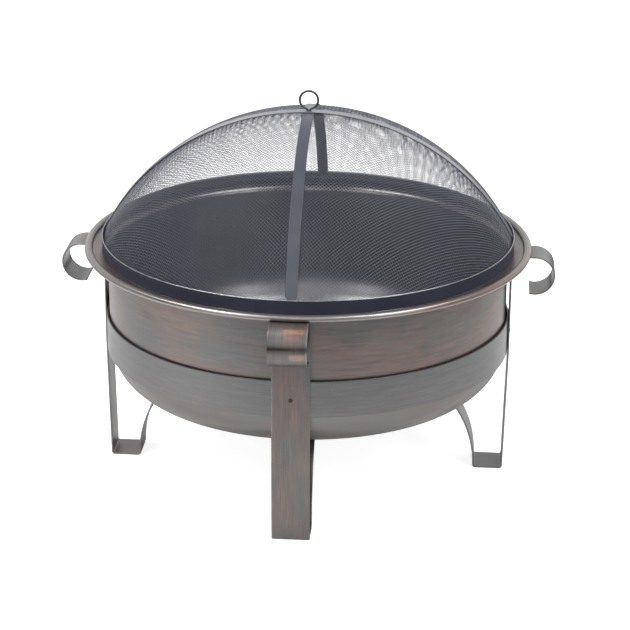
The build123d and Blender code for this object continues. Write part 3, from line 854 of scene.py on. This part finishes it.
def make_lift_ring(material):
    """One wire: a ring whose two ends turn down side by side and spread under the mesh."""
    reach = RING_RADIUS + RING_NECK_BEND
    side = RING_LEG_X + RING_NECK_BEND
    drop = sqrt(reach**2 - side**2)
    neck_z = RING_CENTRE_Z - drop
    neck_turn = degrees(asin(drop / reach))
    foot_z = RING_LEG_LOW_Z + RING_FOOT_BEND
    bend_x = RING_LEG_X + RING_FOOT_BEND
    foot_end = bend_x + RING_FOOT
    path = [
        Straight((foot_end, RING_LEG_LOW_Z), (bend_x, RING_LEG_LOW_Z)),
        Bend((bend_x, foot_z), RING_FOOT_BEND, -90, -90),
        Straight((RING_LEG_X, foot_z), (RING_LEG_X, neck_z)),
        Bend((side, neck_z), RING_NECK_BEND, 180, -neck_turn),
        Bend((0, RING_CENTRE_Z), RING_RADIUS, -neck_turn, 180 + 2 * neck_turn),
        Bend((-side, neck_z), RING_NECK_BEND, neck_turn, -neck_turn),
        Straight((-RING_LEG_X, neck_z), (-RING_LEG_X, foot_z)),
        Bend((-bend_x, foot_z), RING_FOOT_BEND, 0, -90),
        Straight((-bend_x, RING_LEG_LOW_Z), (-foot_end, RING_LEG_LOW_Z)),
    ]
    flat, _, _ = walk(path, step=3 * MM, turn_step=5.0)
    points = np.stack([flat[:, 0], 0 * flat[:, 0], flat[:, 1]], 1)
    ring = round_wire("lift_ring_wire", points, RING_WIRE, [material], sides=16)
    return place(ring, "screen", "black_steel", "lift_ring")


def dress_cad_nodes(hardware, grate):
    """Materials for the CAD nodes that stay as they are."""
    for name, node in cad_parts.items():
        if node.hide_render:
            continue
        material = grate if name.startswith("grate") else hardware
        node.data.materials.clear()
        node.data.materials.append(material)


# ---------------------------------------------------------------- studio

# glow of the studio as the metal mirrors it: at the front, low behind the object, and above that
WORLD_FRONT = 0.12
WORLD_BACK = 1.4
WORLD_HIGH = 0.45
WORLD_TURN = (-0.4, 0.8)     # from front to back, as parts of a direction
WORLD_RISE = (0.25, 0.60)    # from low to high

FLOOR_REACH = 40.0
FLOOR_SEEN = colour(0.85, 0.85, 0.85)
FLOOR_BRIGHT = colour(0.92, 0.92, 0.92)
FLOOR_DIM = colour(0.16, 0.16, 0.16)
FLOOR_GLOW_SEEN = 0.76
FLOOR_GLOW_BESIDE = 0.04
FLOOR_GLOW_PATCH = 0.62
FLOOR_PATCH_MIDDLE = (-0.35, 0.30)
FLOOR_PATCH_SQUEEZE = 1.19   # how much narrower the bright patch is from front to back
FLOOR_PATCH_FADE = (1.30, 2.26)
FLOOR_GLOW_MIDDLE = (-0.92, -0.70)
FLOOR_GLOW_FADE = (0.20, 0.70)

LIGHT_AIM = Vector((0, 0, 0.35))
CAMERA_PLACE = (0.2767, -3.605, 1.625)
CAMERA_TURNS = (4.3, 20.56, 0.35)   # heading to the left of +Y, pitch down, and roll, in degrees
CAMERA_LENS = 124.88                # mm, on a sensor 36 mm wide
CAMERA_SHIFT = 0.00638


def make_floor():
    """Pale floor, lit so that it fades into the white background."""
    mesh = bpy.data.meshes.new("studio_floor")
    signs = ((-1, -1), (1, -1), (1, 1), (-1, 1))
    corners = [(FLOOR_REACH * x, FLOOR_REACH * y, 0) for x, y in signs]
    mesh.from_pydata(corners, [], [(0, 1, 2, 3)])
    floor = bpy.data.objects.new("studio_floor", mesh)
    bpy.context.scene.collection.objects.link(floor)
    paint = Paint("pale_floor", Roughness=0.9)
    paint.shader.inputs["Emission Color"].default_value = colour(1, 1, 1)
    seen = paint.add("ShaderNodeLightPath", {}, "Is Camera Ray")
    # what the metal mirrors is a painted pool of light on the floor round the object, and dim floor
    # further out
    middle_x, middle_y = FLOOR_PATCH_MIDDLE
    back_to_origin = (-middle_x, -middle_y * FLOOR_PATCH_SQUEEZE, 0)
    from_middle = paint.where("Object", (1, FLOOR_PATCH_SQUEEZE, 0), back_to_origin)
    far = paint.rise(paint.length(from_middle), *FLOOR_PATCH_FADE)
    mirrored = paint.blend(far, FLOOR_BRIGHT, FLOOR_DIM)
    paint.feed("Base Color", paint.blend(seen, mirrored, FLOOR_SEEN))
    # and a round patch of it glows for the metal, as a bounce card would, out to the left of the
    # front leg
    glow_x, glow_y = FLOOR_GLOW_MIDDLE
    from_glow = paint.length(paint.where("Object", (1, 1, 0), (-glow_x, -glow_y, 0)))
    beside = paint.rise(from_glow, *FLOOR_GLOW_FADE, FLOOR_GLOW_PATCH, FLOOR_GLOW_BESIDE)
    paint.feed("Emission Strength", paint.rise(seen, 0.0, 1.0, beside, FLOOR_GLOW_SEEN))
    mesh.materials.append(paint.material)


def softbox(name, place_at, size, power):
    data = bpy.data.lights.new(name, "AREA")
    data.shape = "RECTANGLE"
    data.size, data.size_y = size
    data.energy = power
    light = bpy.data.objects.new(name, data)
    light.location = place_at
    light.rotation_mode = "QUATERNION"
    light.rotation_quaternion = (LIGHT_AIM - place_at).to_track_quat("-Z", "Y")
    bpy.context.scene.collection.objects.link(light)


def make_world():
    """White to the camera. The metal mirrors dim walls and a bright sweep low behind the object."""
    world = bpy.data.worlds.new("studio")
    world.use_nodes = True
    nodes = Nodes(world.node_tree)
    direction = nodes.add("ShaderNodeTexCoord", {}, "Generated")
    behind = nodes.rise(nodes.parts_of(direction, "Y"), *WORLD_TURN)
    sweep = nodes.rise(nodes.parts_of(direction, "Z"), *WORLD_RISE, WORLD_BACK, WORLD_HIGH)
    glow = nodes.add("ShaderNodeMix", {"Factor": behind, "A": WORLD_FRONT, "B": sweep})
    seen = nodes.add("ShaderNodeLightPath", {}, "Is Camera Ray")
    strength = nodes.add("ShaderNodeMix", {"Factor": seen, "A": glow, "B": 1.0})
    background = nodes.tree.nodes["Background"]
    background.inputs["Color"].default_value = colour(1, 1, 1)
    nodes.tree.links.new(strength, background.inputs["Strength"])
    bpy.context.scene.world = world


def make_lights():
    """Softboxes, all aimed at the middle of the object."""
    # azimuth from the front towards the right, height, distance, size and power
    boxes = [
        ("front_left", -34, 26, 3.2, (1.4, 1.4), 20),
        ("front_right", 48, 28, 3.2, (1.4, 1.5), 24),
        ("over_left", -72, 60, 3.0, (1.9, 1.0), 84),
        ("over_right", 76, 62, 3.0, (1.7, 1.0), 68),
        ("over_front", 4, 32, 3.2, (1.0, 2.4), 16),
    ]
    for name, azimuth, height, distance, size, power in boxes:
        azimuth, height = radians(azimuth), radians(height)
        level = distance * cos(height)
        offset = (level * sin(azimuth), -level * cos(azimuth), distance * sin(height))
        softbox(name, LIGHT_AIM + Vector(offset), size, power)


def make_camera():
    """The viewing angle of a shop picture: a little to the right of the front leg, looking down."""
    data = bpy.data.cameras.new("view")
    data.lens = CAMERA_LENS
    data.sensor_width = 36.0
    data.shift_x = CAMERA_SHIFT
    camera = bpy.data.objects.new("view", data)
    heading, pitch, roll = (radians(angle) for angle in CAMERA_TURNS)
    forward = Vector((-sin(heading) * cos(pitch), cos(heading) * cos(pitch), -sin(pitch)))
    level_right = Vector((cos(heading), sin(heading), 0))
    level_up = level_right.cross(forward)
    right = cos(roll) * level_right + sin(roll) * level_up
    up = cos(roll) * level_up - sin(roll) * level_right
    axes = Matrix((right, up, -forward)).transposed().to_4x4()
    camera.matrix_world = Matrix.Translation(CAMERA_PLACE) @ axes
    bpy.context.scene.collection.objects.link(camera)
    bpy.context.scene.camera = camera


# ---------------------------------------------------------------- all of it

def build():
    make_camera()
    _, scroll_run = leg_path()
    bowl_outside = rubbed_bronze(
        "rubbed_bronze_bowl", "Object", (0.0, 0.0, 0.0), wear_and_light=bowl_zones
    )
    # painted reflection: the hoop and the side legs take a grey tint for the studio's bluish light
    hoop = rubbed_bronze("rubbed_bronze_hoop", "Object", (1.7, 0.6, 2.2), grey=0.75, warm=0.3)
    # painted light and shade: the side legs are painted lighter and the front leg darker than the
    # bowl
    leg = rubbed_bronze(
        "rubbed_bronze_leg", "UV", (4.0, 1.0, 0.0), grey=0.6, painted_lightness=1.10, wear_and_light=bar_edge_wear_and_highlight
    )
    front = rubbed_bronze(
        "rubbed_bronze_front_leg", "UV", (2.0, 7.0, 1.0), painted_lightness=0.84,
        wear_and_light=front_scroll_wear_and_reflection(scroll_run),
    )
    # no roughness here runs from below 0.27 to above 0.29: that shows as ragged patches
    inside = stove_paint("black_inside", *INSIDE_BLACK, (0.29, 0.36), **GLOSSY)
    shoulder = bare_steel("shoulder_steel", *SHOULDER_STEEL, 0.24)
    band = stove_paint("band_paint", *BAND_BLACK, (0.5, 0.6))
    strap = stove_paint("strap_paint", *STRAP_BLACK, (0.29, 0.34))
    glossy_strap = stove_paint("strap_paint_glossy", *STRAP_BLACK, (0.29, 0.34), **GLOSSY)
    ring = stove_paint("ring_paint", *RING_BLACK, (0.29, 0.36))
    # grey wires: a painted sheen on black wire
    wires = stove_paint("wire_paint", *WIRE_SHEEN_GREY, (0.29, 0.33))
    hem = bare_steel("hem_steel", *HEM_STEEL, 0.35)
    hardware = bare_steel("dark_hardware", *DARK_STEEL, 0.45)
    grate = sooty_steel("grate_steel")

    make_legs(leg, front)
    make_hoop(hoop)
    make_bowl(bowl_outside, inside, shoulder)
    make_band(band)
    make_hem(hem)
    make_wires(wires)
    make_strap("front_back_strap", "screen_strap_front_back", 0.0, QUARTER, strap)
    make_strap("side_strap", "screen_strap_side", STRAP_STEP, 0.0, glossy_strap)
    make_lift_ring(ring)
    dress_cad_nodes(hardware, grate)
    make_floor()
    make_world()
    make_lights()
    bpy.context.scene.view_settings.view_transform = "Standard"


build()
